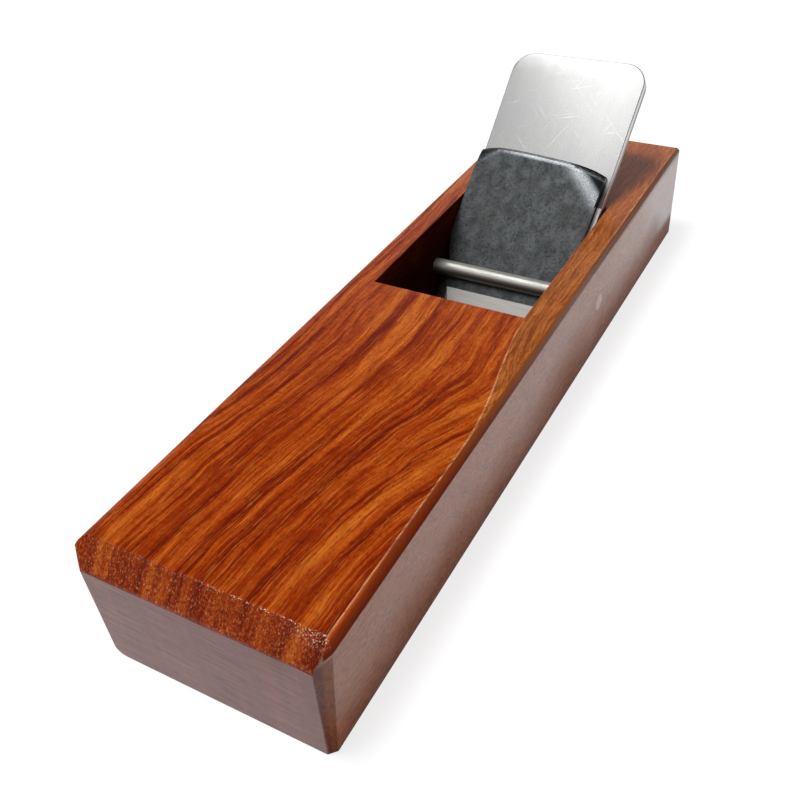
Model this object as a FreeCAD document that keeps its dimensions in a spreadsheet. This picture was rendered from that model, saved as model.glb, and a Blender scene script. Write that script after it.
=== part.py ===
import FreeCAD, Part
import os
import re
import Sketcher

# Japanese pull plane: rosewood block, bevel-down laminated blade, chip breaker and cross pin.
# Origin at the centre of the sole, +Y from the toe (the long end) to the heel, +Z up.
# Millimetres and degrees.

DRIVING_SIZES = {
    # Block
    "block_length": 280,
    "block_width": 75.3,
    "block_height": 38.9,
    "left_edge_round": 4,
    "right_edge_top_at_toe": 0.9,
    "right_edge_drop_at_toe": 5.4,
    "right_edge_top_at_heel": 2.1,
    "right_edge_drop_at_heel": 1.9,
    "heel_arris_round": 0.8,
    "toe_chamfer_run": 6.3,
    "toe_chamfer_drop": 6.9,
    "right_face_cut_sole": 1.9,
    "right_face_cut_top": 1.9,
    "right_side_cut_sole": 2,
    "right_side_cut_top": 6.7,
    "left_face_cut_sole": 6.2,
    "left_face_cut_top": 3.6,
    "left_side_cut_sole": 4,
    "left_side_cut_top": 4,
    "left_sole_cut": 3,
    # Throat, bed and mouth
    "throat_width": 55.4,
    "throat_from_toe": 138.8,
    "bed_top_from_toe": 219.2,
    "bed_angle": 44,
    "mouth_gap": 1.2,
    "mouth_neck_height": 6,
    "mouth_neck_lean": 1.6,
    # Cross pin and its plug
    "pin_diameter": 6,
    "pin_along_bed": 18.1,
    "pin_blind_depth": 7,
    "plug_length": 3.5,
    # Blade
    "blade_length": 114.8,
    "blade_thickness": 4.5,
    "blade_edge_width": 52,
    "blade_head_width": 53.3,
    "blade_edge_shift": -1.15,
    "blade_head_shift": 2.05,
    "blade_head_round": 8.5,
    "blade_arris_round": 0.4,
    "blade_bevel_angle": 28,
    "blade_edge_height": 0.2,
    "blade_steel_length": 58,
    "blade_steel_thickness": 1.2,
    "hollow_end_land": 5,
    "hollow_side_land": 4,
    "hollow_depth": 0.25,
    "hollow_corner_round": 9,
    # Chip breaker
    "breaker_length": 70,
    "breaker_thickness": 2.3,
    "breaker_width": 51,
    "breaker_shoulder": 35,
    "breaker_lip_width": 29,
    "breaker_lip_thickness": 0.5,
    "breaker_lip_shift": -4.15,
    "breaker_lip_setback": 1.2,
    "breaker_bevel_length": 15,
    "breaker_skew": 3.4,
    "breaker_tilt": 1.2,
    "breaker_steel_length": 40,
    "breaker_steel_thickness": 1,
    "right_ear_top": 12.5,
    "right_ear_side": 11.5,
    "left_ear_top": 9.5,
    "left_ear_side": 7.5,
    # Clearances, how far a cut runs past what it cuts, and how near an edge is to be picked
    "slide_clearance": 0.05,
    "pin_clearance": 0.1,
    "cut_overrun": 5,
    "pick_margin": 0.05,
}

# Places worked out from the sizes. "along" is a distance up the bed from the sole, "off" is
# square to the bed, and the others are along X, Y or Z as their names end. The breaker's front
# face rises along its length, so the pin clears its highest point, at the breaker's right side.
DERIVED_SIZES = {
    "half_width": "block_width / 2",
    "heel_y": "block_length / 2",
    "toe_y": "0 - block_length / 2",
    "bed_foot_y": "toe_y + bed_top_from_toe - block_height / tan(bed_angle)",
    "blade_front_off": "slide_clearance + blade_thickness",
    "blade_edge_along": "(blade_edge_height - blade_front_off * cos(bed_angle)) / sin(bed_angle)",
    "blade_y": "bed_foot_y + blade_edge_along * cos(bed_angle) - slide_clearance * sin(bed_angle)",
    "blade_z": "blade_edge_along * sin(bed_angle) + slide_clearance * cos(bed_angle)",
    "mouth_lip_y": "bed_foot_y - blade_front_off / sin(bed_angle) - mouth_gap",
    "breaker_off": "blade_front_off + slide_clearance",
    "breaker_along": "blade_edge_along + breaker_lip_setback",
    "breaker_y": "bed_foot_y + breaker_along * cos(bed_angle) - breaker_off * sin(bed_angle)",
    "breaker_z": "breaker_along * sin(bed_angle) + breaker_off * cos(bed_angle)",
    "ear_drop": "breaker_length * tan(breaker_tilt)",
    "lip_to_pin": "(pin_along_bed - breaker_along) * cos(breaker_skew)"
                  " + breaker_width / 2 * sin(breaker_skew)",
    "pin_off": "breaker_off + lip_to_pin * tan(breaker_tilt) + breaker_thickness / cos(breaker_tilt)"
               " + pin_clearance + pin_diameter / 2",
    "pin_y": "bed_foot_y + pin_along_bed * cos(bed_angle) - pin_off * sin(bed_angle)",
    "pin_z": "pin_along_bed * sin(bed_angle) + pin_off * cos(bed_angle)",
    "pin_start_x": "0 - throat_width / 2 - pin_blind_depth",
    "plug_start_x": "half_width - plug_length",
}

doc = FreeCAD.newDocument("kanna")
sheet = doc.addObject("Spreadsheet::Sheet", "Sizes")
cell_texts = {alias: str(value) for alias, value in DRIVING_SIZES.items()}
cell_texts.update({alias: f"={text}" for alias, text in DERIVED_SIZES.items()})
for row, alias in enumerate(cell_texts, start=1):
    sheet.set(f"A{row}", alias)
    sheet.setAlias(f"B{row}", alias)
for row, text in enumerate(cell_texts.values(), start=1):
    sheet.set(f"B{row}", text)
doc.recompute()


def cells(text):
    """Point every size name in an expression at its cell of the sheet."""
    return re.sub(r"\b[a-z]+_[a-z_]+\b", lambda name: f"Sizes.{name.group()}", text)


def number(text):
    """The value that an expression of sizes has now."""
    return float(sheet.evalExpression(cells(text)))


def bind(thing, properties):
    """Drive an object's properties with expressions of sizes."""
    for name, text in properties.items():
        thing.setExpression(name, cells(text))


def new_body(name):
    body = doc.addObject("PartDesign::Body", name)
    body.Label = name
    return body


def new_sketch(body, name, plane, offset):
    """A sketch on one of the body's own planes, or off it along its normal."""
    sketch = body.newObject("Sketcher::SketchObject", name)
    support = [feature for feature in body.Origin.OriginFeatures if feature.Role == plane][0]
    sketch.AttachmentSupport = [(support, "")]
    sketch.MapMode = "FlatFace"
    bind(sketch, {"AttachmentOffset.Base.z": offset})
    return sketch


def constrain(sketch, kind, text, *where):
    """Add a constraint whose value is an expression of sizes."""
    place = sketch.addConstraint(Sketcher.Constraint(kind, *where, number(text)))
    bind(sketch, {f"Constraints[{place}]": text})


def closed_sketch(body, name, plane, corners, offset="0"):
    """A straight-sided closed outline; each corner is a pair of expressions."""
    sketch = new_sketch(body, name, plane, offset)
    points = [FreeCAD.Vector(number(across), number(up), 0) for across, up in corners]
    for start, end in zip(points, points[1:] + points[:1]):
        sketch.addGeometry(Part.LineSegment(start, end))
    for line, (across, up) in enumerate(corners):
        next_line = (line + 1) % len(corners)
        sketch.addConstraint(Sketcher.Constraint("Coincident", line, 2, next_line, 1))
        constrain(sketch, "DistanceX", across, -1, 1, line, 1)
        constrain(sketch, "DistanceY", up, -1, 1, line, 1)
    return sketch


def circle_sketch(body, name, plane, across, up, diameter, offset="0"):
    """A circle; its centre is a pair of expressions."""
    sketch = new_sketch(body, name, plane, offset)
    centre = FreeCAD.Vector(number(across), number(up), 0)
    sketch.addGeometry(Part.Circle(centre, FreeCAD.Vector(0, 0, 1), number(diameter) / 2))
    constrain(sketch, "DistanceX", across, -1, 1, 0, 3)
    constrain(sketch, "DistanceY", up, -1, 1, 0, 3)
    constrain(sketch, "Diameter", diameter, 0)
    return sketch


def extrude(body, kind, name, sketch, length, side="One side", backwards=False):
    """A pad or a pocket. A pocket runs down from its sketch unless it is turned backwards."""
    feature = body.newObject(f"PartDesign::{kind}", name)
    feature.Profile = sketch
    feature.SideType = side
    feature.Reversed = backwards
    bind(feature, {"Length": length})
    doc.recompute()
    return feature


def cut_side_view(body, name, corners, length):
    """Cut an outline drawn in the side view, Y and Z, equally far to both sides."""
    outline = closed_sketch(body, f"{name}_outline", "YZ_Plane", corners)
    return extrude(body, "Pocket", name, outline, length, side="Symmetric")


def cut_loft(body, name, lower, upper):
    """Cut away the straight-sided solid between two outlines."""
    feature = body.newObject("PartDesign::SubtractiveLoft", name)
    feature.Profile = lower
    feature.Sections = [upper]
    feature.Ruled = True
    doc.recompute()
    return feature


def edges_at(feature, x=None, y=None, z=None):
    """Names of the edges with both ends at the given places: an expression, or a low and high pair."""
    margin = number("pick_margin")
    bounds = [(number(pair[0]) - margin, number(pair[1]) + margin) if pair else None
              for pair in ((place, place) if isinstance(place, str) else place for place in (x, y, z))]
    return [f"Edge{place}" for place, edge in enumerate(feature.Shape.Edges, start=1)
            if all(bound is None or bound[0] <= value <= bound[1]
                   for end in edge.Vertexes for value, bound in zip(end.Point, bounds))]


def dress(body, kind, name, base, edges, size_property, size):
    """Round or chamfer the named edges of a feature. A fillet follows the edges that run on smoothly."""
    feature = body.newObject(f"PartDesign::{kind}", name)
    feature.Base = (base, edges)
    bind(feature, {size_property: size})
    doc.recompute()
    return feature


# Block: one piece of rosewood, planed square. Its long top edges are eased by hand, the left one
# round and the right one to a flat that turns from steep at the toe to about even at the heel.
dai = new_body("dai")
block_outline = closed_sketch(dai, "block_outline", "XY_Plane", [
    ("0 - half_width", "toe_y"), ("half_width", "toe_y"),
    ("half_width", "heel_y"), ("0 - half_width", "heel_y")])
block = extrude(dai, "Pad", "block", block_outline, "block_height")


def right_edge_outline(name, place):
    """The strip planed off the right long edge, cut through at one place along the block."""
    top, drop = [
        f"(right_edge_{cut}_at_toe + (right_edge_{cut}_at_heel - right_edge_{cut}_at_toe)"
        f" * ({place} - toe_y) / block_length)"
        for cut in ("top", "drop")]
    return closed_sketch(dai, name, "XZ_Plane", [
        (f"half_width - {top}", "block_height"),
        (f"half_width - {top}", "block_height + cut_overrun"),
        ("half_width + cut_overrun", "block_height + cut_overrun"),
        ("half_width + cut_overrun", f"block_height - {drop}"),
        ("half_width", f"block_height - {drop}")], f"0 - ({place})")


block = cut_loft(dai, "right_edge_flat",
                 right_edge_outline("right_edge_toe_end", "toe_y - cut_overrun"),
                 right_edge_outline("right_edge_heel_end", "heel_y + cut_overrun"))
left_edge = edges_at(block, x="0 - half_width", z="block_height")
block = dress(dai, "Fillet", "left_edge", block, left_edge, "Radius", "left_edge_round")
heel_edges = edges_at(block, y="heel_y", z="block_height")
dress(dai, "Fillet", "heel_arris", block, heel_edges, "Radius", "heel_arris_round")

# Toe: a broad chamfer across the top, then a facet pared by hand down each corner, a little twisted.
cut_side_view(dai, "toe_chamfer", [
    ("toe_y", "block_height - toe_chamfer_drop"),
    ("toe_y + toe_chamfer_run", "block_height"),
    ("toe_y + toe_chamfer_run", "block_height + cut_overrun"),
    ("toe_y - cut_overrun", "block_height + cut_overrun"),
    ("toe_y - cut_overrun", "block_height - toe_chamfer_drop")], "block_width + cut_overrun")


def corner_outline(side, sign, name, height):
    """The wedge pared off a toe corner, at one height above the sole."""
    face_cut, side_cut = [
        f"({side}_{cut}_sole + ({side}_{cut}_top - {side}_{cut}_sole) * ({height}) / block_height)"
        for cut in ("face_cut", "side_cut")]
    inner = f"{sign} * (half_width - {face_cut})"
    outer = f"{sign} * (half_width + cut_overrun)"
    return closed_sketch(dai, name, "XY_Plane", [
        (inner, "toe_y"), (inner, "toe_y - cut_overrun"), (outer, "toe_y - cut_overrun"),
        (outer, f"toe_y + {side_cut}"), (f"{sign} * half_width", f"toe_y + {side_cut}")], height)


for side, sign in (("right", "1"), ("left", "-1")):
    block = cut_loft(dai, f"{side}_toe_corner",
                     corner_outline(side, sign, f"{side}_corner_foot", "0 - cut_overrun"),
                     corner_outline(side, sign, f"{side}_corner_head", "block_height + cut_overrun"))

left_facet_foot = edges_at(block, x=("0 - half_width", "left_face_cut_sole - half_width"),
                           y=("toe_y", "toe_y + left_side_cut_sole"), z="0")
dress(dai, "Chamfer", "left_sole_corner", block, left_facet_foot, "Size", "left_sole_cut")

# Throat: chopped from the top down to the mouth, its back wall the flat bed that the blade lies on.
cut_side_view(dai, "throat", [
    ("mouth_lip_y", "0 - cut_overrun"),
    ("mouth_lip_y", "0"),
    ("mouth_lip_y - mouth_neck_lean", "mouth_neck_height"),
    ("toe_y + throat_from_toe", "block_height"),
    ("toe_y + throat_from_toe", "block_height + cut_overrun"),
    ("bed_foot_y + (block_height + cut_overrun) / tan(bed_angle)", "block_height + cut_overrun"),
    ("bed_foot_y - cut_overrun / tan(bed_angle)", "0 - cut_overrun")], "throat_width")

# Pin hole: bored from the right side across the throat, blind in the left cheek.
pin_hole = circle_sketch(dai, "pin_hole_outline", "YZ_Plane", "pin_y", "pin_z", "pin_diameter",
                         "pin_start_x")
extrude(dai, "Pocket", "pin_hole", pin_hole, "half_width - pin_start_x + cut_overrun", backwards=True)


def rod(name, start, length):
    """A round bar that lies across the block on the pin's axis."""
    bar = doc.addObject("Part::Cylinder", name)
    bar.Label = name
    bind(bar, {
        "Radius": "pin_diameter / 2",
        "Height": length,
        "Placement": f"placement(vector({start};pin_y;pin_z);rotation(vector(0;1;0);90))"})
    return bar


# Cross pin: a steel rod driven into the blind hole, and the rosewood plug that hides its end.
cross_pin = rod("cross_pin", "pin_start_x", "plug_start_x - pin_start_x")
pin_plug = rod("pin_plug", "plug_start_x", "plug_length")


def blade_side(sign, along, inset="0"):
    """Where a side of the blade is, at a distance from its cutting edge."""
    shift = f"blade_edge_shift + (blade_head_shift - blade_edge_shift) * ({along}) / blade_length"
    width = f"(blade_edge_width + (blade_head_width - blade_edge_width) * ({along}) / blade_length)"
    return f"{shift} + {sign} * ({width} / 2 - ({inset}))"


def blade_outline(body, name, start, end, height, inset="0"):
    return closed_sketch(body, name, "XY_Plane", [
        (blade_side("-1", start, inset), start), (blade_side("1", start, inset), start),
        (blade_side("1", end, inset), end), (blade_side("-1", end, inset), end)], height)


def blade_blank(name):
    """The whole blade. In its own frame Y runs from the cutting edge up to the head and Z from
    the side that lies on the bed, where the bevel is ground, to the front face."""
    body = new_body(name)
    bind(body, {"Placement": "placement(vector(0;blade_y;blade_z);rotation(vector(1;0;0);bed_angle))"})
    outline = blade_outline(body, f"{name}_outline", "0", "blade_length", "0")
    plate = extrude(body, "Pad", f"{name}_plate", outline, "blade_thickness")
    right_side = blade_side("1", "blade_length")
    left_side = blade_side("-1", "blade_length")
    corners = (edges_at(plate, x=right_side, y="blade_length")
               + edges_at(plate, x=left_side, y="blade_length"))
    plate = dress(body, "Fillet", f"{name}_corners", plate, corners, "Radius", "blade_head_round")
    arrises = (edges_at(plate, y="blade_length", z="0")
               + edges_at(plate, y="blade_length", z="blade_thickness"))
    dress(body, "Fillet", f"{name}_arrises", plate, arrises, "Radius", "blade_arris_round")
    cut_side_view(body, f"{name}_bevel", [
        ("0 - cut_overrun", "blade_thickness + cut_overrun * tan(blade_bevel_angle)"),
        ("0 - cut_overrun", "0 - cut_overrun"),
        ("(blade_thickness + cut_overrun) / tan(blade_bevel_angle)", "0 - cut_overrun")],
        "2 * blade_head_width")
    return body


# Blade iron: the soft back plate, seated under the steel at the cutting end.
blade_iron = blade_blank("blade_iron")
cut_side_view(blade_iron, "steel_seat", [
    ("0 - cut_overrun", "blade_thickness - blade_steel_thickness"),
    ("blade_steel_length", "blade_thickness - blade_steel_thickness"),
    ("blade_steel_length", "blade_thickness + cut_overrun"),
    ("0 - cut_overrun", "blade_thickness + cut_overrun")], "2 * blade_head_width")

# Blade steel: the hard layer forge-welded on, with the cutting edge and a shallow ground hollow.
blade_steel = blade_blank("blade_steel")
cut_side_view(blade_steel, "under_steel", [
    ("0 - cut_overrun", "0 - cut_overrun"),
    ("blade_length + cut_overrun", "0 - cut_overrun"),
    ("blade_length + cut_overrun", "blade_thickness + cut_overrun"),
    ("blade_steel_length", "blade_thickness + cut_overrun"),
    ("blade_steel_length", "blade_thickness - blade_steel_thickness"),
    ("0 - cut_overrun", "blade_thickness - blade_steel_thickness")], "2 * blade_head_width")
hollow_ends = ("hollow_end_land", "blade_steel_length - hollow_end_land")
hollow_outline = blade_outline(blade_steel, "hollow_outline", *hollow_ends, "blade_thickness",
                               "hollow_side_land")
hollow = extrude(blade_steel, "Pocket", "hollow", hollow_outline, "hollow_depth")
hollow_corners = [name for end in hollow_ends for sign in ("-1", "1")
                  for name in edges_at(hollow, x=blade_side(sign, end, "hollow_side_land"), y=end)]
dress(blade_steel, "Fillet", "hollow_corners", hollow, hollow_corners, "Radius", "hollow_corner_round")

# Chip breaker: a thinner forged plate on the blade's front face, set a little askew. It touches the
# blade only at its lip and at the tips of its two bent ears.
BREAKER_PLACE = ("placement(vector(breaker_lip_shift;breaker_y;breaker_z);rotation(vector(1;0;0);bed_angle)"
                 "*rotation(vector(0;0;1);0 - breaker_skew)*rotation(vector(1;0;0);breaker_tilt))")


def breaker_blank(name):
    """The flat of the breaker. In its own frame Y runs from the lip to the top edge and Z from the
    side that faces the blade to the front, where the long bevel thins it down to the lip."""
    body = new_body(name)
    bind(body, {"Placement": BREAKER_PLACE})
    outline = closed_sketch(body, f"{name}_outline", "XY_Plane", [
        ("0 - breaker_lip_width / 2", "0"),
        ("breaker_lip_width / 2", "0"),
        ("breaker_width / 2", "breaker_shoulder"),
        ("breaker_width / 2", "breaker_length - right_ear_side"),
        ("breaker_width / 2 - right_ear_top", "breaker_length"),
        ("left_ear_top - breaker_width / 2", "breaker_length"),
        ("0 - breaker_width / 2", "breaker_length - left_ear_side"),
        ("0 - breaker_width / 2", "breaker_shoulder")])
    extrude(body, "Pad", f"{name}_plate", outline, "breaker_thickness")
    slope = "(breaker_thickness - breaker_lip_thickness) / breaker_bevel_length"
    cut_side_view(body, f"{name}_bevel", [
        ("0 - cut_overrun", f"breaker_lip_thickness - cut_overrun * {slope}"),
        ("breaker_bevel_length", "breaker_thickness"),
        ("breaker_bevel_length", "breaker_thickness + cut_overrun"),
        ("0 - cut_overrun", "breaker_thickness + cut_overrun")], "2 * breaker_width")
    return body


def bent_ear(name, sign, along_top, along_side):
    """A top corner bent down about its crease until the tip rests on the blade."""
    side_x = sign * number("breaker_width") / 2
    top_y = number("breaker_length")
    thickness = FreeCAD.Vector(0, 0, number("breaker_thickness"))
    under = [FreeCAD.Vector(side_x - sign * number(along_top), top_y, 0),
             FreeCAD.Vector(side_x, top_y - number(along_side), 0),
             FreeCAD.Vector(side_x, top_y, -number("ear_drop"))]
    over = [point + thickness for point in under]
    rims = [under, over] + [[under[a], under[b], over[b], over[a]] for a, b in ((0, 1), (1, 2), (2, 0))]
    solid = Part.Solid(Part.Shell([Part.Face(Part.makePolygon(rim + rim[:1])) for rim in rims]))
    if solid.Volume < 0:
        solid.reverse()
    ear = doc.addObject("Part::Feature", name)
    ear.Shape = solid
    bind(ear, {"Placement": BREAKER_PLACE})
    return ear


# Breaker iron: the plate with its ears, seated over the steel facing at the lip end.
breaker_plate = breaker_blank("breaker_plate")
cut_side_view(breaker_plate, "facing_seat", [
    ("0 - cut_overrun", "0 - cut_overrun"),
    ("breaker_steel_length", "0 - cut_overrun"),
    ("breaker_steel_length", "breaker_steel_thickness"),
    ("0 - cut_overrun", "breaker_steel_thickness")], "2 * breaker_width")
chip_breaker_iron = doc.addObject("Part::MultiFuse", "chip_breaker_iron")
chip_breaker_iron.Label = "chip_breaker_iron"
chip_breaker_iron.Shapes = [breaker_plate,
                            bent_ear("right_ear", 1, "right_ear_top", "right_ear_side"),
                            bent_ear("left_ear", -1, "left_ear_top", "left_ear_side")]

# Breaker steel: the thin hard facing forge-welded under the lip end.
chip_breaker_steel = breaker_blank("chip_breaker_steel")
cut_side_view(chip_breaker_steel, "over_facing", [
    ("0 - cut_overrun", "breaker_steel_thickness"),
    ("breaker_steel_length", "breaker_steel_thickness"),
    ("breaker_steel_length", "0 - cut_overrun"),
    ("breaker_length + cut_overrun", "0 - cut_overrun"),
    ("breaker_length + cut_overrun", "breaker_thickness + cut_overrun"),
    ("0 - cut_overrun", "breaker_thickness + cut_overrun")], "2 * breaker_width")

doc.recompute()

# Every feature has to be sound, and every cut has to remove something, before a file is written.
for thing in doc.Objects:
    if "Invalid" in thing.State or "Error" in thing.State:
        raise RuntimeError(f"{thing.Name} failed: {thing.State}")
    if thing.TypeId in ("PartDesign::Pocket", "PartDesign::SubtractiveLoft"):
        if thing.Shape.Volume >= thing.BaseFeature.Shape.Volume:
            raise RuntimeError(f"{thing.Name} cuts nothing")

os.makedirs("parts", exist_ok=True)
for piece in (dai, cross_pin, pin_plug, blade_iron, blade_steel, chip_breaker_iron, chip_breaker_steel):
    if piece.Shape.isNull() or not piece.Shape.isValid() or len(piece.Shape.Solids) != 1:
        raise RuntimeError(f"{piece.Label} is not one sound solid")
    piece.Shape.exportStep(f"parts/{piece.Label}.step")
    print(f"{piece.Label}: {piece.Shape.Volume:.0f} cubic millimetres")
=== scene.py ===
from math import cos, radians, sin

import bmesh
import bpy
from mathutils import Matrix, Vector, noise


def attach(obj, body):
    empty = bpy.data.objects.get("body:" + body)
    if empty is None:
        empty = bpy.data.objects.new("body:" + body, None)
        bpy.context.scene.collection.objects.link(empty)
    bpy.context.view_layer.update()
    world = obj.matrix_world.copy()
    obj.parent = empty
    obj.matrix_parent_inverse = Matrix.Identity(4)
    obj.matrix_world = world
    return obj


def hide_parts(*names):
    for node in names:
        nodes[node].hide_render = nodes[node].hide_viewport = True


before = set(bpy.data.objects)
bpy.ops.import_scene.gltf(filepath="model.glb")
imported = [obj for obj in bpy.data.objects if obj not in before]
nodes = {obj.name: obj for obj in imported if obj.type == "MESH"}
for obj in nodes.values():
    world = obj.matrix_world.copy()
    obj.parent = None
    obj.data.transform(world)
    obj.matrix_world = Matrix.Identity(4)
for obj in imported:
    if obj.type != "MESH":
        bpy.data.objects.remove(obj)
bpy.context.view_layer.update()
mm = 0.001

# Block (dai). One piece of red rosewood, sawn and planed square, its long top edges rounded over,
# the toe chamfered and its corners pared with a chisel, then waxed to a gloss. The throat is
# chopped through it from the top.
block_length, block_width, block_height = 280.0, 75.3, 38.9
half_length, half_width = block_length / 2, block_width / 2
chamfer_along, chamfer_down = 6.3, 6.9
facet_on_face, facet_at_sole, facet_at_top = 1.9, 2.0, 6.7
flat_wide_toe, flat_wide_heel = 0.9, 1.3
flat_high_toe, flat_high_heel = 5.4, 1.2
throat_half_width = 27.95


def feed(tree, made, inputs):
    """Each input of a node gets a plain value or another node's output."""
    for name, value in inputs.items():
        if isinstance(value, bpy.types.NodeSocket):
            tree.links.new(value, made.inputs[name])
        else:
            made.inputs[name].default_value = value


def add(tree, kind, inputs=None, **settings):
    """A new node in a material or group."""
    made = tree.nodes.new(kind)
    for name, value in settings.items():
        setattr(made, name, value)
    feed(tree, made, inputs or {})
    return made


def calc(tree, operation, first, second=0.0, third=0.0, clamp=False):
    inputs = {0: first, 1: second, 2: third}
    return add(tree, "ShaderNodeMath", inputs, operation=operation, use_clamp=clamp).outputs[0]


def times(tree, first, *others):
    for other in others:
        first = calc(tree, "MULTIPLY", first, other)
    return first


def times_plus(tree, first, factor, extra):
    return calc(tree, "MULTIPLY_ADD", first, factor, extra)


def plus(tree, first, second):
    return calc(tree, "ADD", first, second)


def minus(tree, first, second):
    return calc(tree, "SUBTRACT", first, second)


def apart(tree, first, second=0.0):
    """How far two values lie apart, whichever is larger."""
    return calc(tree, "ABSOLUTE", minus(tree, first, second))


def largest(tree, first, *others):
    for other in others:
        first = calc(tree, "MAXIMUM", first, other)
    return first


def fade(tree, value, start, end, low=0.0, high=1.0):
    """A smooth step from low to high as the value goes from start to end."""
    inputs = {"Value": value, "From Min": start, "From Max": end, "To Min": low, "To Max": high}
    return add(tree, "ShaderNodeMapRange", inputs, interpolation_type="SMOOTHSTEP").outputs["Result"]


def opaque(colour):
    """A plain red, green and blue gets its fourth value; another node's output stays as it is."""
    return (*colour, 1.0) if isinstance(colour, tuple) else colour


def blend(tree, share, first, second):
    """From the first colour to the second, as far as the share says."""
    inputs = {0: share, 6: opaque(first), 7: opaque(second)}
    return add(tree, "ShaderNodeMix", inputs, data_type="RGBA").outputs[2]


def blend_values(tree, share, first, second):
    return add(tree, "ShaderNodeMix", {0: share, 2: first, 3: second}, data_type="FLOAT").outputs[0]


def colour_ramp(tree, value, stops, interpolation="LINEAR"):
    """Colours at places along a value; the first and the last stop are the two ends."""
    made = add(tree, "ShaderNodeValToRGB", {"Fac": value})
    made.color_ramp.interpolation = interpolation
    for end, (place, colour) in zip(made.color_ramp.elements, (stops[0], stops[-1])):
        end.position, end.color = place, opaque(colour)
    for place, colour in stops[1:-1]:
        made.color_ramp.elements.new(place).color = opaque(colour)
    return made.outputs["Color"]


def separate(tree, vector):
    return tuple(add(tree, "ShaderNodeSeparateXYZ", {0: vector}).outputs)


def grain(tree, place, scale=(1.0, 1.0, 1.0), detail=2.0, roughness=0.5):
    """Soft random values at a place, drawn out by the scale that each of its directions is given."""
    spot = add(tree, "ShaderNodeCombineXYZ", {"X": place[0], "Y": place[1], "Z": place[2]}).outputs[0]
    spot = add(tree, "ShaderNodeVectorMath", {0: spot, 1: scale}, operation="MULTIPLY").outputs[0]
    inputs = {"Vector": spot, "Scale": 1.0, "Detail": detail, "Roughness": roughness}
    return add(tree, "ShaderNodeTexNoise", inputs).outputs["Fac"]


def wander(tree, size, place, length):
    """A slow drift to either side, up to half its size, a certain length along the block."""
    drift = grain(tree, place, (0.03, 1.0 / length, 0.03))
    return times(tree, minus(tree, drift, 0.5), size)


def new_group(name, inputs, outputs):
    group = bpy.data.node_groups.new(name, "ShaderNodeTree")
    for socket, kind in inputs.items():
        group.interface.new_socket(socket, in_out="INPUT", socket_type="NodeSocket" + kind)
    for socket, kind in outputs.items():
        group.interface.new_socket(socket, in_out="OUTPUT", socket_type="NodeSocket" + kind)
    return group, group.nodes.new("NodeGroupInput").outputs, group.nodes.new("NodeGroupOutput")


def new_material(name):
    made = bpy.data.materials.new(name)
    made.use_nodes = True
    return made, made.node_tree, made.node_tree.nodes["Principled BSDF"]


def millimetres(tree):
    """The object's own coordinates, in millimetres."""
    place = add(tree, "ShaderNodeTexCoord").outputs["Object"]
    return add(tree, "ShaderNodeVectorMath", {0: place, "Scale": 1 / mm}, operation="SCALE").outputs[0]


def roughen(tree, surface, relief, strength, depth):
    """Fine relief on a surface, its depth in metres."""
    bump = add(tree, "ShaderNodeBump", {"Height": relief, "Strength": strength, "Distance": depth})
    feed(tree, surface, {"Normal": bump.outputs["Normal"]})


# The growth layers stand on edge along the block, and sweep to the right between toe and throat.
# Their edges are frayed by the fibres that cross them.
rosewood_figure, given, figure_out = new_group(
    "rosewood figure", {"Place": "Vector"}, {"Colour": "Color", "Pores": "Float", "Fibre": "Float"})
g = rosewood_figure
x, y, z = place = separate(g, given["Place"])
reach = times_plus(g, times_plus(g, x, 0.005, 0.12), x, 10.5)
sweep = times(g, fade(g, y, -128.0, -28.0), reach)
layer = plus(g, minus(g, x, sweep), wander(g, 7.0, place, 60.0))
layer = plus(g, layer, wander(g, 1.7, place, 18.0))
frayed = minus(g, grain(g, place, (1.3, 0.13, 0.8), 3.0, 0.6), 0.5)
ragged = times_plus(g, frayed, 1.7, layer)

# Each layer darkens softly towards its right, and golden bands run between the dark ones.
layer_width = 4.7
spacing = grain(g, (layer, 0.0, 7.0), (0.11, 1.0, 1.0), 1.0)
count = times_plus(g, spacing, 5.0, calc(g, "DIVIDE", ragged, layer_width))
darkness = ((0.0, 0.55), (0.14, 0.95), (0.30, 0.90), (0.48, 0.42), (0.66, 0.05), (0.84, 0.15), (1.0, 0.55))
greys = [(at, (dark, dark, dark)) for at, dark in darkness]
within = colour_ramp(g, calc(g, "FRACT", count), greys, "B_SPLINE")
strength = grain(g, (layer, y, z), (0.26, 0.018, 0.03))
lines = times(g, within, fade(g, strength, 0.30, 0.66, 0.15, 1.0))
bands = grain(g, (ragged, y, z), (0.26, 0.010, 0.02), 2.0, 0.5)
thin = grain(g, (ragged, y, z), (0.9, 0.03, 0.04), 3.0, 0.6)
curl = grain(g, place, (0.30, 0.80, 0.30), 3.0, 0.6)
dashes = minus(g, grain(g, (layer, y, z), (2.0, 0.09, 1.6), 3.0, 0.7), 0.5)
tone = times_plus(g, fade(g, bands, 0.30, 0.68), 0.54, times(g, lines, 0.62))
tone = times_plus(g, minus(g, thin, 0.42), 0.75, tone)
tone = times_plus(g, minus(g, curl, 0.5), 0.40, tone)
tone = times_plus(g, dashes, 0.42, tone)
tone = plus(g, tone, fade(g, y, -70.0, 0.0, 0.0, -0.10))
striped_wood = colour_ramp(g, tone, [(0.05, (0.56, 0.130, 0.013)), (0.34, (0.43, 0.068, 0.0045)),
                                     (0.64, (0.29, 0.030, 0.0016)), (0.98, (0.150, 0.0095, 0.0006))])

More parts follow.
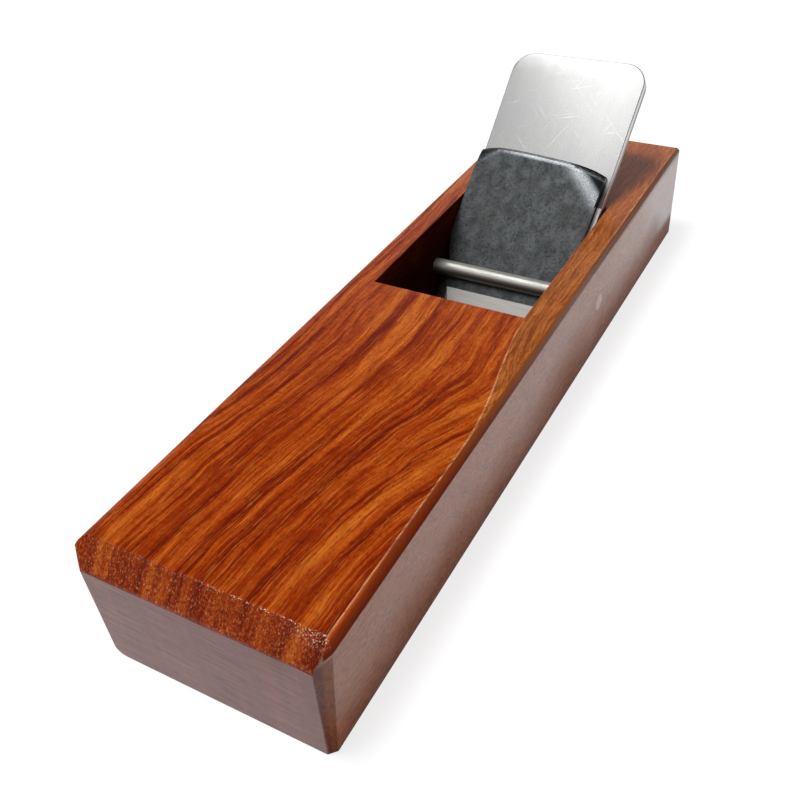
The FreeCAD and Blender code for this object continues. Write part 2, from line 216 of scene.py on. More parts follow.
# At the right edge and on both sides the layers lie flat, so the wood is plainer, with an arch.
rim_line = fade(g, y, -66.0, 6.0, 36.6, 27.4)
past_line = minus(g, x, rim_line)
rim = largest(g, fade(g, past_line, -0.25, 0.35), fade(g, x, -36.6, -37.2), fade(g, y, 66.0, 90.0, 0.0, 0.85))
arch_at, arch_width, arch_height = -84.0, 30.0, 36.0
from_arch = calc(g, "DIVIDE", minus(g, y, arch_at), arch_width)
arch = calc(g, "DIVIDE", arch_height, times_plus(g, from_arch, from_arch, 1.0))
flat = times_plus(g, past_line, 2.2, minus(g, z, arch))
flat = plus(g, flat, wander(g, 16.0, place, 80.0))
flat_tone = grain(g, (flat, y, 0.0), (0.30, 0.012, 1.0), 3.0, 0.62)
rim_streaks = minus(g, grain(g, (past_line, y, z), (0.9, 0.016, 0.05), 3.0, 0.6), 0.48)
flat_tone = plus(g, flat_tone, times(g, rim_streaks, fade(g, z, 30.0, 38.0, 0.15, 0.8)))
flat_tone = times_plus(g, dashes, 0.35, flat_tone)
flat_wood = colour_ramp(g, flat_tone, [(0.34, (0.47, 0.150, 0.030)), (0.70, (0.24, 0.050, 0.008))])
plain = largest(g, fade(g, z, 38.5, 33.0, 0.0, 0.72), fade(g, y, 60.0, 88.0, 0.0, 0.66))
flat_wood = blend(g, plain, flat_wood, (0.46, 0.110, 0.026))
wood = blend(g, rim, striped_wood, flat_wood)

# A thin pale line marks the edge between the two and goes on along the arris to the heel; where it follows
# the figure it is the wood's own line, and along the arris it is a painted highlight.
heel_highlight_at = 36.3
toe_line = times(g, fade(g, apart(g, past_line), 0.34, 0.08), fade(g, y, 4.0, -20.0))
heel_arris_highlight = times(g, fade(g, apart(g, x, heel_highlight_at), 0.40, 0.08), fade(g, y, 20.0, 90.0, 0.0, 0.8))
pale_line_and_arris_highlight = times(g, largest(g, toe_line, heel_arris_highlight), fade(g, z, 37.8, 38.6),
                  fade(g, dashes, 0.12, -0.12, 0.35, 0.9))
wood = blend(g, pale_line_and_arris_highlight, wood, (0.74, 0.40, 0.20))

# Fine fibres, and the open pores, which show as dashes along the block and as dots on its ends.
fibre = grain(g, (layer, y, z), (3.0, 0.15, 3.0), 3.0, 0.7)
pores = fade(g, grain(g, place, (3.6, 0.60, 3.6), 1.0, 0.5), 0.58, 0.70)
wood = blend(g, fade(g, fibre, 0.40, 0.66, 0.0, 0.44), wood, (0.10, 0.010, 0.001))
wood = blend(g, fade(g, dashes, 0.03, 0.15, 0.0, 0.34), wood, (0.09, 0.008, 0.001))
wood = blend(g, fade(g, dashes, -0.03, -0.15, 0.0, 0.26), wood, (0.74, 0.24, 0.04))
wood = blend(g, times(g, pores, 0.58), wood, (0.06, 0.006, 0.001))
feed(g, figure_out, {"Colour": wood, "Pores": pores, "Fibre": fibre})

# The toe and heel are sawn across the fibres and drank more wax. Their greyish mauve is partly the end
# grain's own dull colour and partly a painted reflection of the pale floor.
waxed_rosewood, tree, wax = new_material("waxed rosewood")
figure = add(tree, "ShaderNodeGroup", {"Place": millimetres(tree)}, node_tree=rosewood_figure).outputs
x, y, z = place = separate(tree, millimetres(tree))
sawn_end = fade(tree, apart(tree, y), half_length - 0.7, half_length - 0.1)
saw_marks = grain(tree, (x, times_plus(tree, x, 0.07, z), 0.0), (0.06, 1.9, 1.0), 4.0, 0.75)
speckle = grain(tree, place, (2.3, 1.1, 1.5), 3.0, 0.7)
end_grain_and_reflection = blend(tree, fade(tree, saw_marks, 0.34, 0.66), (0.30, 0.096, 0.082), (0.135, 0.036, 0.030))
colour = blend(tree, times(tree, sawn_end, 0.82), figure["Colour"], end_grain_and_reflection)
chamfer_top, chamfer_foot = chamfer_along - half_length, block_height - chamfer_down
chamfer = times(tree, fade(tree, y, chamfer_top + 0.2, chamfer_top - 0.2),
                fade(tree, z, chamfer_foot - 0.2, chamfer_foot + 0.3))
cut_ends = largest(tree, chamfer, times(tree, sawn_end, 0.25))
dark_dots = times(tree, cut_ends, fade(tree, speckle, 0.50, 0.66, 0.0, 0.60))
pale_dots = times(tree, cut_ends, fade(tree, speckle, 0.43, 0.31, 0.0, 0.55))
colour = blend(tree, dark_dots, colour, (0.06, 0.008, 0.003))
colour = blend(tree, pale_dots, colour, (0.72, 0.34, 0.19))

# The facet pared off the right toe corner took less wax.
facet_edge = half_width - facet_on_face
facet_end = times_plus(tree, z, (facet_at_top - facet_at_sole) / block_height, facet_at_sole - half_length)
on_facet = times(tree, fade(tree, x, facet_edge - 0.05, facet_edge + 0.10),
                 fade(tree, minus(tree, y, facet_end), 0.0, -0.25), fade(tree, z, 33.2, 32.6))
colour = blend(tree, times(tree, on_facet, 0.35), colour, (0.09, 0.028, 0.020))

# A whitish painted reflection of the pale floor lies on the sides at the heel, where the wax is also full.
painted_heel_reflection = times(tree, fade(tree, times_plus(tree, z, 0.9, y), 112.0, 140.0), fade(tree, z, 5.0, 12.0))
on_side = fade(tree, apart(tree, x), half_width - 0.45, half_width - 0.15)
colour = blend(tree, times(tree, painted_heel_reflection, on_side, 0.5), colour, (0.66, 0.60, 0.64))

# Inside the throat the wood is painted darker, more so deeper down, as painted shade.
in_throat = times(tree, fade(tree, apart(tree, x), throat_half_width + 0.15, throat_half_width - 0.15),
                  fade(tree, z, 38.8, 38.2), fade(tree, y, -2.0, -1.0),
                  fade(tree, z, 0.05, 0.4), fade(tree, y, 90.0, 84.0))
painted_throat_shade = times(tree, in_throat, fade(tree, z, 38.0, 24.0, 0.70, 0.93))
colour = blend(tree, painted_throat_shade, colour, (0.020, 0.0045, 0.0022))

# The right long edge is planed off in one flat, tall and steep at the toe, and hardly there at the
# heel. Its fresh wood is a plain deep red and took little wax; it is painted light at its top and
# shade towards its foot, as a rounded edge would be lit.
along_block = calc(tree, "DIVIDE", plus(tree, y, half_length), block_length)
flat_wide = times_plus(tree, along_block, flat_wide_heel - flat_wide_toe, flat_wide_toe)
flat_high = times_plus(tree, along_block, flat_high_heel - flat_high_toe, flat_high_toe)
above_flat_foot = plus(tree, minus(tree, z, block_height), flat_high)
past_flat_top = plus(tree, minus(tree, x, half_width), flat_wide)
on_flat = times(tree, fade(tree, above_flat_foot, -0.1, 0.15), fade(tree, past_flat_top, -0.1, 0.15))
up_flat = fade(tree, calc(tree, "DIVIDE", above_flat_foot, flat_high), 0.0, 0.95)
shaded_foot_red = blend(tree, fade(tree, y, -60.0, 40.0), (0.20, 0.014, 0.002), (0.14, 0.038, 0.014))
lit_top_red = blend(tree, fade(tree, y, -90.0, -30.0), (0.56, 0.072, 0.008), (0.52, 0.135, 0.018))
lit_top_red = blend(tree, fade(tree, y, 10.0, 60.0), lit_top_red, (0.24, 0.070, 0.022))
colour = blend(tree, times(tree, on_flat, 0.82), colour, blend(tree, up_flat, shaded_foot_red, lit_top_red))

# Tiny bright chips in the polish and painted glints of light, along the chamfer's upper arris and thickest at
# its right end.
chip_noise = grain(tree, place, (2.3, 2.3, 2.3), 2.0, 0.6)
from_arris = plus(tree, apart(tree, y, chamfer_top), apart(tree, z, block_height))
arris_chips_and_glints = times(tree, fade(tree, from_arris, 0.6, 0.15), fade(tree, x, -8.0, 24.0, 0.14, 0.95))
corner_chips_and_glints = times(tree, fade(tree, from_arris, 6.0, 0.5), fade(tree, x, 24.0, 34.0), chamfer)
chips_and_glints = times(tree, largest(tree, arris_chips_and_glints, corner_chips_and_glints), fade(tree, chip_noise, 0.57, 0.64), 0.85)
colour = blend(tree, chips_and_glints, colour, (0.95, 0.82, 0.66))

relief = times_plus(tree, figure["Pores"], -0.5, times(tree, figure["Fibre"], 0.4))
relief = times_plus(tree, times(tree, cut_ends, speckle), -2.0, relief)
roughen(tree, wax, relief, 0.4, 0.08 * mm)

# Handling and the bench have rubbed the wax thin low down on the sides, in a soft uneven band. It
# is thin on the facet and the flat, below the right arris, and on the left edge.
rub = minus(tree, grain(tree, place, (0.02, 0.022, 0.03), 3.0, 0.6), 0.5)
rub_height = times_plus(tree, rub, 26.0, z)
side_wax = times(tree, fade(tree, rub_height, 0.0, 27.0, 0.26, 1.0), fade(tree, y, 35.0, 90.0, 0.92, 1.05))
top_wax = fade(tree, z, 38.0, 38.8)
end_wax = times(tree, sawn_end, fade(tree, saw_marks, 0.36, 0.64, 1.1, 0.82))
waxed = largest(tree, side_wax, top_wax, end_wax, painted_heel_reflection)
waxed = calc(tree, "MULTIPLY", waxed, fade(tree, speckle, 0.36, 0.64, 0.72, 1.02), clamp=True)
waxed = times(tree, waxed, times_plus(tree, on_facet, -0.38, 1.0), minus(tree, 1.0, in_throat))
bare_flat = blend_values(tree, fade(tree, y, -90.0, 60.0), 0.97, times(tree, up_flat, 0.9))
below_arris = times(tree, fade(tree, z, 34.5, 38.0, 0.0, 0.7), fade(tree, x, 36.9, 37.3),
                    fade(tree, y, 0.0, 60.0))
left_edge = times(tree, fade(tree, x, -33.8, -34.8), fade(tree, z, 33.5, 35.5, 0.0, 0.8))
unwaxed = largest(tree, times(tree, on_flat, bare_flat), below_arris, left_edge)
feed(tree, wax, {"Base Color": colour, "Roughness": fade(tree, figure["Fibre"], 0.3, 0.7, 0.42, 0.6),
                 "Specular IOR Level": 0.0, "Coat Weight": times(tree, waxed, minus(tree, 1.0, unwaxed)),
                 "Coat Roughness": 0.12, "Coat IOR": 1.58})


def soften_shading(mesh, sharp_angle=radians(32)):
    """Smooth shading over the curves, with a clean line at every arris."""
    shape = bmesh.new()
    shape.from_mesh(mesh)
    for face in shape.faces:
        face.smooth = True
    for edge in shape.edges:
        edge.smooth = len(edge.link_faces) == 2 and edge.calc_face_angle(0.0) < sharp_angle
    shape.to_mesh(mesh)
    shape.free()


def place_in_scene(name, mesh):
    made = bpy.data.objects.new(name, mesh)
    bpy.context.scene.collection.objects.link(made)
    return made


def merged_copy(node, name):
    """A copy of a solid's mesh with its loose triangles joined up again into whole faces."""
    mesh = nodes[node].data.copy()
    shape = bmesh.new()
    shape.from_mesh(mesh)
    bmesh.ops.remove_doubles(shape, verts=shape.verts[:], dist=0.002 * mm)
    bmesh.ops.dissolve_limit(shape, angle_limit=radians(0.4), verts=shape.verts[:], edges=shape.edges[:])
    shape.to_mesh(mesh)
    shape.free()
    return place_in_scene(name, mesh)


def cut_across(shape, point, direction, merge):
    """New edges where a plane passes through a shape, so that it can bend there."""
    bmesh.ops.bisect_plane(shape, geom=shape.verts[:] + shape.edges[:] + shape.faces[:], dist=merge,
                           plane_co=point, plane_no=direction)


def dress(piece, material):
    piece.data.materials.clear()
    piece.data.materials.append(material)


def runs_along(edge, x_low, x_high, z_low, z_high):
    """True for an edge along the block whose ends lie between two widths and two heights, in mm."""
    run = edge.verts[1].co - edge.verts[0].co
    return abs(run.y) > 0.9 * run.length and all(
        x_low * mm < vert.co.x < x_high * mm and z_low * mm < vert.co.z < z_high * mm for vert in edge.verts)


block = merged_copy("dai", "block")
soften_shading(block.data, radians(60))

# The flat on the right long edge rolls over softly from the top, and narrows to almost nothing at
# the heel, where the solid's own flat is 2.1 mm wide and 1.9 mm high. Its foot is a crisp line on
# the toe half and fades out towards the heel.
solid_wide_heel, solid_high_heel = 2.1, 1.9
shape = bmesh.new()
shape.from_mesh(block.data)
for place in (-100.0, -60.0, -20.0, 20.0, 60.0, 100.0):
    cut_across(shape, (0, place * mm, 0), (0, 1, 0), 0.001 * mm)


def part_way(at_toe, at_heel, toe_to_heel):
    return at_toe + (at_heel - at_toe) * toe_to_heel


for vert in shape.verts:
    inward, down = half_width * mm - vert.co.x, block_height * mm - vert.co.z
    if inward < (solid_wide_heel + 0.15) * mm and down < (flat_high_toe + 0.1) * mm:
        toe_to_heel = vert.co.y / (block_length * mm) + 0.5
        inward *= (part_way(flat_wide_toe, flat_wide_heel, toe_to_heel)
                   / part_way(flat_wide_toe, solid_wide_heel, toe_to_heel))
        down *= (part_way(flat_high_toe, flat_high_heel, toe_to_heel)
                 / part_way(flat_high_toe, solid_high_heel, toe_to_heel))
        vert.co.x, vert.co.z = half_width * mm - inward, block_height * mm - down
weight = shape.edges.layers.float.new("bevel_weight_edge")
for edge in shape.edges:
    flat_top = runs_along(edge, half_width - 1.55, half_width - 0.55, block_height - 0.2, block_height + 0.2)
    flat_foot = runs_along(edge, half_width - 0.15, half_width + 0.15, block_height - 5.9, block_height - 0.5)
    if flat_top or flat_foot:
        edge.smooth = flat_top or sum(vert.co.y for vert in edge.verts) > 0
    elif edge.calc_face_angle(0.0) > radians(28):
        edge[weight] = 1.0
shape.to_mesh(block.data)
shape.free()

# Handling and a last stroke of fine paper took the sharpness off every other arris.
eased = block.modifiers.new("eased arrises", "BEVEL")
eased.width, eased.segments = 0.35 * mm, 3
eased.limit_method = "WEIGHT"
eased.harden_normals = False
block.modifiers.new("even shading", "WEIGHTED_NORMAL").keep_sharp = True
dress(block, waxed_rosewood)
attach(block, "dai")
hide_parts("dai")

# Cross pin. A plain steel rod, turned and polished, driven across the throat from the right side.
# The chip breaker is wedged under it. Its underside is painted dark, as shade and as the reflection of the
# dark throat.
pin_y, pin_z = 44.66, 20.11
ground_steel, given, steel_out = new_group(
    "ground steel", {"Place": "Vector", "Across": "Float", "Along": "Float"},
    {"Lines": "Float", "Scratches": "Float", "Cloud": "Float"})
g = ground_steel
x, y, z = place = separate(g, given["Place"])
lines = grain(g, (times(g, x, given["Across"]), times(g, y, given["Along"]), times(g, z, given["Along"])),
              detail=4.0, roughness=0.7)
cloud = grain(g, place, (0.09, 0.07, 0.09), 3.0, 0.6)
scratches = []
for turn, stretch in ((0.5, 0.05), (-0.8, 0.04), (1.3, 0.06)):
    turned = add(g, "ShaderNodeVectorRotate", {"Vector": given["Place"], "Angle": turn},
                 rotation_type="Z_AXIS")
    hair = grain(g, separate(g, turned.outputs[0]), (2.4, stretch, 1.0), 1.0, 0.4)
    scratches.append(fade(g, hair, 0.735, 0.78))
feed(g, steel_out, {"Lines": lines, "Scratches": largest(g, *scratches), "Cloud": cloud})


def ground_metal(name, pale, dark, across, along, smoothest, roughest, turn=None, base=None, metallic=1.0):
    """Ground or polished steel, with its grinding lines, a few scratches and a slight cloudiness."""
    made, tree, metal = new_material(name)
    place = millimetres(tree)
    if turn is not None:
        place = add(tree, "ShaderNodeMapping", {"Vector": place, "Location": base, "Rotation": turn},
                    vector_type="TEXTURE").outputs[0]
    ground = add(tree, "ShaderNodeGroup", {"Place": place, "Across": across, "Along": along},
                 node_tree=ground_steel).outputs
    shade = times_plus(tree, ground["Lines"], 0.5, times(tree, ground["Cloud"], 0.5))
    colour = blend(tree, fade(tree, shade, 0.35, 0.65), pale, dark)
    colour = blend(tree, times(tree, ground["Scratches"], 0.5), colour, (0.9, 0.9, 0.88))
    roughen(tree, metal, times_plus(tree, ground["Scratches"], -0.6, ground["Lines"]), 0.05, 0.03 * mm)
    feed(tree, metal, {"Base Color": colour, "Metallic": metallic,
                       "Roughness": fade(tree, shade, 0.3, 0.7, smoothest, roughest)})
    return made


def darken_with_film_or_shade(made, share, dark_layer):
    """A darker film, or a painted shade, over a finished metal, as thick or as dark as the share says."""
    tree = made.node_tree
    base = tree.nodes["Principled BSDF"].inputs["Base Color"]
    tree.links.new(blend(tree, share, base.links[0].from_socket, dark_layer), base)


polished_rod = ground_metal("polished rod steel", (0.84, 0.82, 0.77), (0.70, 0.68, 0.63),
                            0.2, 5.0, 0.30, 0.38, metallic=0.75)
tree = polished_rod.node_tree
x, y, z = separate(tree, millimetres(tree))
# The pin's lower half is painted dark, as shade and as the dark throat it mirrors.
up_pin = times_plus(tree, minus(tree, y, pin_y), 0.56, times(tree, minus(tree, z, pin_z), 0.83))
darken_with_film_or_shade(polished_rod, fade(tree, up_pin, 0.7, -1.7, 0.0, 0.86), (0.085, 0.072, 0.055))
cross_pin = merged_copy("cross_pin", "pin")
soften_shading(cross_pin.data)
dress(cross_pin, polished_rod)
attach(cross_pin, "dai")
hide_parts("cross_pin")

# Pin plug. A short dowel of the same rosewood, glued over the pin's end and planed flush with the
# right side. Its end grain stands out a little paler than the face round it.
plug_wood, tree, wax = new_material("plug end grain")
swung = add(tree, "ShaderNodeVectorRotate", {"Vector": millimetres(tree), "Angle": radians(90)},
            rotation_type="Z_AXIS")
figure = add(tree, "ShaderNodeGroup", {"Place": swung.outputs[0]}, node_tree=rosewood_figure).outputs
feed(tree, wax, {"Base Color": blend(tree, 0.5, figure["Colour"], (0.50, 0.24, 0.17)), "Roughness": 0.5,
                 "Specular IOR Level": 0.15, "Coat Weight": 0.88, "Coat Roughness": 0.13, "Coat IOR": 1.55})
dress(nodes["pin_plug"], plug_wood)

# Blade, back plate. Soft iron, forged flat and ground bright, its two head corners rounded. It lies
# bevel down on the bed and is set with a hammer. Beside the chip breaker it is painted dark, a painted
# reflection of the dark throat wall in shade.
bed_angle = radians(44)
bed_foot_y, bed_foot_z = 35.701, -3.037
blade_base, blade_turn = (0.0, bed_foot_y, bed_foot_z), (bed_angle, 0.0, 0.0)
ground_iron = ground_metal("ground iron", (0.665, 0.665, 0.655), (0.63, 0.635, 0.63),
                           1.1, 0.05, 0.24, 0.25, blade_turn, blade_base)
tree = ground_iron.node_tree
x, y, z = separate(tree, millimetres(tree))
# Painted shade beside the chip breaker, where the blade mirrors the dark throat wall.
painted_shade_beside_breaker = times(tree, fade(tree, x, 19.0, 20.5), fade(tree, z, 50.0, 44.0, 0.0, 0.9),
                       fade(tree, z, 33.0, 39.0))
darken_with_film_or_shade(ground_iron, painted_shade_beside_breaker, (0.035, 0.028, 0.024))

# Its narrow sides are ground bright next to the front face, and still black from the forge behind.
black_edge_iron = ground_metal("black-edged iron", (0.70, 0.70, 0.69), (0.62, 0.62, 0.62),
                               1.2, 0.4, 0.30, 0.38, blade_turn, blade_base)
tree = black_edge_iron.node_tree
x, y, z = separate(tree, millimetres(tree))
off_bed = times_plus(tree, minus(tree, y, bed_foot_y), -sin(bed_angle),
                     times(tree, minus(tree, z, bed_foot_z), cos(bed_angle)))
forge_black = times(tree, fade(tree, off_bed, 2.5, 1.5), fade(tree, z, 50.0, 64.0, 0.5, 0.94))
darken_with_film_or_shade(black_edge_iron, forge_black, (0.055, 0.055, 0.055))
blade_iron = merged_copy("blade_iron", "blade_back_plate")
soften_shading(blade_iron.data)
dress(blade_iron, ground_iron)
blade_iron.data.materials.append(black_edge_iron)
for face in blade_iron.data.polygons:
    if abs(face.normal.x) > 0.75:
        face.material_index = 1
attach(blade_iron, "blade")
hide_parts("blade_iron")

# Blade, steel layer. High-carbon steel forge-welded to the iron's front at the cutting end, ground
# hollow and honed.
honed_steel = ground_metal("honed steel", (0.74, 0.74, 0.74), (0.60, 0.60, 0.60),
                           0.06, 4.0, 0.16, 0.26, blade_turn, blade_base)
dress(nodes["blade_steel"], honed_steel)

# Chip breaker, back plate. Soft iron left dark from the forge, its top edge rounded and its two top
# corners hammered down until they bear on the blade; only the long bevel at the front is ground.
breaker_length, breaker_thickness, breaker_half = 70.0, 2.3, 25.5
lip_half, widest_from, lip_thickness = 14.5, 35.0, 0.5
facing_length, facing_thickness = 40.0, 1.0
bevel_length, bevel_skew = 15.0, 0.059
top_crown = 2.2
dubbed, dubbed_drop = 2.0, 0.42
ear_bend = 1.466
ears = ((1, 16.0, 14.0), (-1, 9.5, 8.5))
breaker_base = (-4.15, 33.4035, 1.0696)
breaker_turn = (Matrix.Rotation(bed_angle, 3, "X") @ Matrix.Rotation(radians(-3.4), 3, "Z")
                @ Matrix.Rotation(radians(1.2), 3, "X"))
breaker_euler = tuple(breaker_turn.to_euler("XYZ"))


def ear_crease(side, along_top, along_side):
    """A point on the line where an ear bends down, and the way square to it out to the corner."""
    point = Vector((side * (breaker_half - along_top), breaker_length))
    return point, Vector((side * along_side, along_top)).normalized()


forged_iron, tree, scale = new_material("forge-scaled iron")
on_plate = add(tree, "ShaderNodeMapping",
               {"Vector": millimetres(tree), "Location": breaker_base, "Rotation": breaker_euler},
               vector_type="TEXTURE").outputs[0]
x, y, z = place = separate(tree, on_plate)
ground = add(tree, "ShaderNodeGroup", {"Place": on_plate, "Across": 0.05, "Along": 3.4},
             node_tree=ground_steel).outputs
blotches = grain(tree, place, (0.24, 0.20, 0.1), 5.0, 0.6)
pits = grain(tree, place, (1.1, 1.1, 1.1), 4.0, 0.7)
stains = grain(tree, place, (0.075, 0.06, 0.1), 3.0, 0.6)
specks = grain(tree, place, (0.8, 0.8, 0.8), 1.0, 0.4)
colour = blend(tree, fade(tree, blotches, 0.32, 0.68), (0.188, 0.201, 0.209), (0.108, 0.115, 0.118))
colour = blend(tree, fade(tree, stains, 0.50, 0.68, 0.0, 0.4), colour, (0.110, 0.104, 0.092))
colour = blend(tree, fade(tree, pits, 0.46, 0.68, 0.0, 0.75), colour, (0.045, 0.046, 0.046))
rubbed = largest(tree, times(tree, ground["Scratches"], 0.14), fade(tree, specks, 0.72, 0.80, 0.0, 0.45))
colour = blend(tree, rubbed, colour, (0.5, 0.51, 0.51))

# The top edge and the creases of the ears are rubbed bright by fingers and the hammer, and painted
# highlights lie along them where they catch the light. The ears past their creases are painted
# black, as scale and as the dark they mirror.
crown = calc(tree, "POWER", calc(tree, "DIVIDE", apart(tree, x), breaker_half), 4.0)
from_top = minus(tree, times_plus(tree, crown, -top_crown, breaker_length + top_crown), y)
top_rub_and_highlight = times(tree, fade(tree, from_top, 0.3, 0.9), fade(tree, from_top, 2.8, 1.6),
                fade(tree, x, -20.0, -3.0, 0.2, 1.0))
past_ears = []
for ear in ears:
    crease, away = ear_crease(*ear)
    past_ears.append(times_plus(tree, minus(tree, x, crease.x), away.x,
                                times(tree, minus(tree, y, crease.y), away.y)))
past_right, past_left = past_ears
ear_painted_dark = largest(tree, fade(tree, past_right, 4.2, 6.2), fade(tree, past_left, 3.6, 5.0))
colour = blend(tree, times(tree, ear_painted_dark, 0.92), colour, (0.014, 0.015, 0.016))
right_crease_rub_and_highlight = times(tree, fade(tree, past_right, -2.4, 3.0), fade(tree, past_right, 6.4, 3.6),
                  fade(tree, y, 54.0, 67.0, 0.6, 1.0))
left_ear_rub_and_highlight = times(tree, fade(tree, past_left, 0.2, 2.2, 0.0, 0.7), fade(tree, past_left, 4.4, 2.8))
rubs_and_highlights = times(tree, largest(tree, top_rub_and_highlight, right_crease_rub_and_highlight, left_ear_rub_and_highlight), fade(tree, pits, 0.75, 0.35, 0.6, 0.9))
colour = blend(tree, rubs_and_highlights, colour, (0.54, 0.57, 0.60))
from_lip = times_plus(tree, x, -bevel_skew, y)
bevel = fade(tree, from_lip, bevel_length + 0.15, bevel_length - 0.15)
bevel_colour = blend(tree, fade(tree, ground["Lines"], 0.35, 0.65), (0.93, 0.91, 0.87), (0.76, 0.74, 0.70))
scale_roughness = times(tree, fade(tree, blotches, 0.3, 0.7, 0.30, 0.38),
                        fade(tree, rubs_and_highlights, 0.0, 0.5, 1.0, 0.7))
scale_relief = times(tree, times_plus(tree, pits, 0.5, blotches), minus(tree, 1.0, bevel))
roughen(tree, scale, scale_relief, 0.35, 0.3 * mm)
feed(tree, scale, {"Base Color": blend(tree, bevel, colour, bevel_colour),
                   "Roughness": blend_values(tree, bevel, scale_roughness, 0.42),
                   "Metallic": times_plus(tree, bevel, -0.4, 1.0)})


def breaker_width_at(along):
    """Half the breaker's width: tapered up from the lip, then parallel."""
    return lip_half + (breaker_half - lip_half) * min(along / widest_from, 1.0)


def breaker_front_at(across, along):
    """The height of the front face; the bevel's upper border runs level although the plate is askew."""
    slope = (breaker_thickness - lip_thickness) / (bevel_length + bevel_skew * across)
    return min(breaker_thickness, lip_thickness + slope * along)


plate = bmesh.new()
bevel_foot = bevel_length * lip_thickness / (breaker_thickness - lip_thickness)
bmesh.ops.create_grid(plate, x_segments=56, y_segments=72, size=0.5)
for vert in plate.verts:
    along = bevel_foot + (vert.co.y + 0.5) * (breaker_length - bevel_foot)
    vert.co = (vert.co.x * 2, along, 0.0)
for line in (widest_from, facing_length - 0.02, facing_length + 0.02):
    cut_across(plate, (0, line, 0), (0, 1, 0), 0.001)
for vert in plate.verts:
    vert.co.x *= breaker_width_at(vert.co.y)
cut_across(plate, (0, bevel_length, 0), (-bevel_skew, 1, 0), 0.001)
raised = bmesh.ops.extrude_face_region(plate, geom=plate.faces[:])
front = {item for item in raised["geom"] if isinstance(item, bmesh.types.BMVert)}
for vert in plate.verts:
    under = facing_thickness if vert.co.y < facing_length else 0.0
    vert.co.z = breaker_front_at(vert.co.x, vert.co.y) if vert in front else under
bmesh.ops.recalc_face_normals(plate, faces=plate.faces[:])


def front_rim(edge, low):
    """True for an edge of the front face's outline that lies above a given height."""
    return (all(vert in front and vert.co.y > low for vert in edge.verts)
            and any(any(vert not in front for vert in face.verts) for face in edge.link_faces))


for vert in front:
    past = max(0.0, vert.co.y - (breaker_length - dubbed)) / dubbed
    vert.co.z -= dubbed_drop * past ** 2
top_rim = [edge for edge in plate.edges if front_rim(edge, breaker_length - 0.01)]
bmesh.ops.bevel(plate, geom=top_rim, offset=0.6, segments=4, profile=0.5, affect="EDGES", material=-1)
for vert in plate.verts:
    for ear in ears:
        crease, away = ear_crease(*ear)
        reach = (Vector((ear[0] * breaker_half, breaker_length)) - crease).dot(away)
        past = (vert.co.xy - crease).dot(away)
        if past > 0:
            vert.co.z -= ear_bend * (past / reach) ** 1.5
    if vert.co.z > 0.5 and vert.co.y > bevel_length + 2.0:
        vert.co.z += 0.03 * noise.noise(Vector((vert.co.x * 0.14, vert.co.y * 0.14, 3.7)))
for vert in plate.verts:
    upper = max(0.0, vert.co.y - facing_length) / (breaker_length - facing_length)
    vert.co.y += top_crown * upper ** 2 * (1.0 - min(1.0, abs(vert.co.x) / breaker_half) ** 4)
bmesh.ops.transform(plate, matrix=breaker_turn.to_4x4(), verts=plate.verts[:])
bmesh.ops.translate(plate, vec=breaker_base, verts=plate.verts[:])
bmesh.ops.scale(plate, vec=(mm, mm, mm), verts=plate.verts[:])
breaker_mesh = bpy.data.meshes.new("breaker_back_plate")
plate.to_mesh(breaker_mesh)
plate.free()
breaker = place_in_scene("breaker_back_plate", breaker_mesh)
soften_shading(breaker.data)
dress(breaker, forged_iron)
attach(breaker, "chip_breaker")
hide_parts("chip_breaker_iron")

# Chip breaker, steel facing. A thin hard layer forge-welded under the lip, honed with the bevel.
facing_steel = ground_metal("breaker lip steel", (0.62, 0.61, 0.58), (0.46, 0.45, 0.43),
                            0.05, 3.4, 0.2, 0.3, breaker_euler, breaker_base)
dress(nodes["chip_breaker_steel"], facing_steel)

# Studio. A white floor that keeps a soft shadow, white to the camera and to whatever mirrors it.
# Far from the plane it glows in full, so that it meets the white room without a line.
floor_shape = bmesh.new()
bmesh.ops.create_grid(floor_shape, x_segments=1, y_segments=1, size=6.0)
floor_mesh = bpy.data.meshes.new("floor")
floor_shape.to_mesh(floor_mesh)
floor_shape.free()
floor = place_in_scene("floor", floor_mesh)
white_light = (1.0, 1.0, 1.0, 1.0)
floor_paint, tree, paint = new_material("white floor")
feed(tree, paint, {"Base Color": (0.58, 0.58, 0.58, 1.0), "Roughness": 1.0, "Specular IOR Level": 0.0})
ray = add(tree, "ShaderNodeLightPath").outputs
pale = add(tree, "ShaderNodeBsdfDiffuse", {"Color": (0.28, 0.28, 0.28, 1.0)})
from_plane = add(tree, "ShaderNodeVectorMath", {0: add(tree, "ShaderNodeTexCoord").outputs["Object"]},
                 operation="LENGTH").outputs["Value"]
glow = add(tree, "ShaderNodeEmission",
           {"Color": white_light, "Strength": fade(tree, from_plane, 0.35, 1.2, 0.78, 1.0)})
white = add(tree, "ShaderNodeAddShader", {0: pale.outputs[0], 1: glow.outputs[0]})
seen = largest(tree, ray["Is Camera Ray"], ray["Is Glossy Ray"], ray["Is Transmission Ray"])
either = add(tree, "ShaderNodeMixShader", {0: seen, 1: paint.outputs[0], 2: white.outputs[0]})
tree.links.new(either.outputs[0], tree.nodes["Material Output"].inputs["Surface"])
dress(floor, floor_paint)

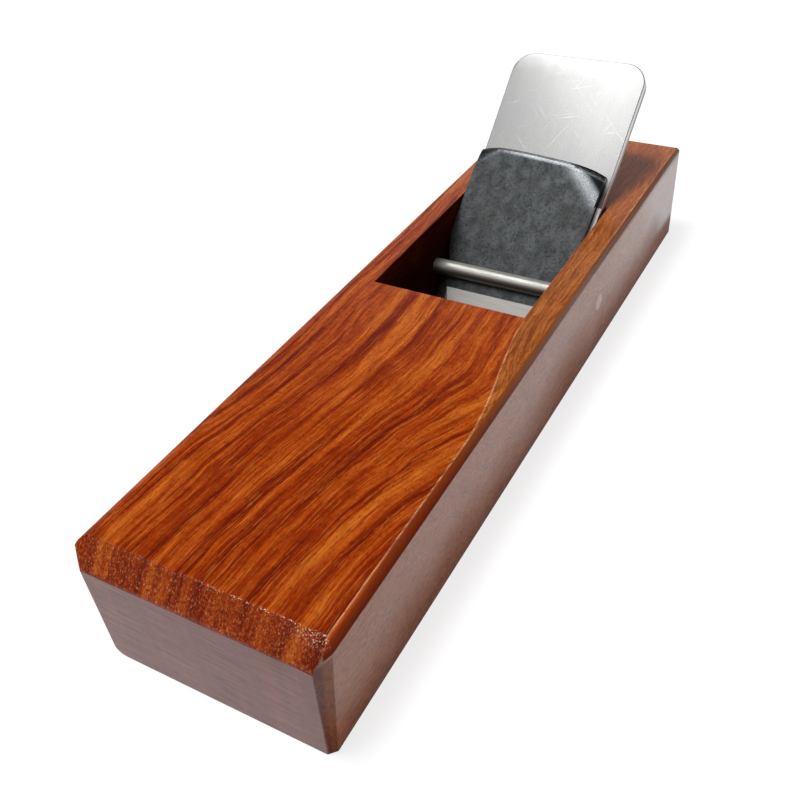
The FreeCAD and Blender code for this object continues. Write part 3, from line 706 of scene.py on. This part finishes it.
# The room is white to the camera. Its light comes from pale walls ahead, a soft ceiling behind, a
# long strip up on the left, and one bright panel overhead, which all show in the wax and the steel.
world = bpy.data.worlds.new("studio room")
bpy.context.scene.world = world
world.use_nodes = True
tree = world.node_tree
ray = add(tree, "ShaderNodeLightPath").outputs
towards = add(tree, "ShaderNodeTexCoord").outputs["Generated"]
across, ahead, height = separate(tree, towards)
walls = times(tree, fade(tree, height, 0.30, 0.66, 0.62, 0.03), fade(tree, ahead, -0.3, 0.5, 0.2, 1.0))
ceiling = times(tree, fade(tree, height, 0.40, 0.62, 0.0, 0.58), fade(tree, ahead, -0.10, -0.36))
strip_at, panel_at = -0.32, (-0.21, -0.28, 0.937)
strip = times(tree, fade(tree, apart(tree, across, strip_at), 0.11, 0.06), fade(tree, ahead, -0.32, -0.24),
              fade(tree, ahead, 0.42, 0.30), fade(tree, height, 0.5, 0.7, 0.0, 3.0))
to_panel = add(tree, "ShaderNodeVectorMath", {0: towards, 1: panel_at},
               operation="DOT_PRODUCT").outputs["Value"]
panel = fade(tree, to_panel, 0.991, 0.9972, 0.0, 2.6)
lit_room = largest(tree, plus(tree, walls, ceiling), strip, panel)
feed(tree, tree.nodes["Background"],
     {"Color": white_light, "Strength": blend_values(tree, ray["Is Camera Ray"], lit_room, 1.0)})

# The key lamp is a square one with a diffuser, overhead on the left, turned to face the plane.
lamp_place, lamp_aim = Vector((-0.20, -0.17, 1.05)), Vector((0.0, 0.03, 0.03))
lamp = bpy.data.lights.new("key lamp", "AREA")
lamp.shape = "RECTANGLE"
lamp.size, lamp.size_y = 0.30, 0.30
lamp.energy = 9.0
key_lamp = place_in_scene("key lamp", lamp)
key_lamp.location = lamp_place
key_lamp.rotation_euler = (lamp_aim - lamp_place).to_track_quat("-Z", "Y").to_euler()
key_lamp.visible_camera = False
key_lamp.visible_glossy = False

# Camera. It looks down at the plane from above its toe, a little to the right.
lens = bpy.data.cameras.new("camera")
lens.lens, lens.sensor_width = 42.19, 36.0
lens.clip_start = 0.01
camera = place_in_scene("camera", lens)
camera.location = (0.12083, -0.23344, 0.20736)
camera.rotation_euler = (radians(51.18), radians(3.42), radians(28.63))
bpy.context.scene.camera = camera
bpy.context.scene.view_settings.view_transform = "Standard"
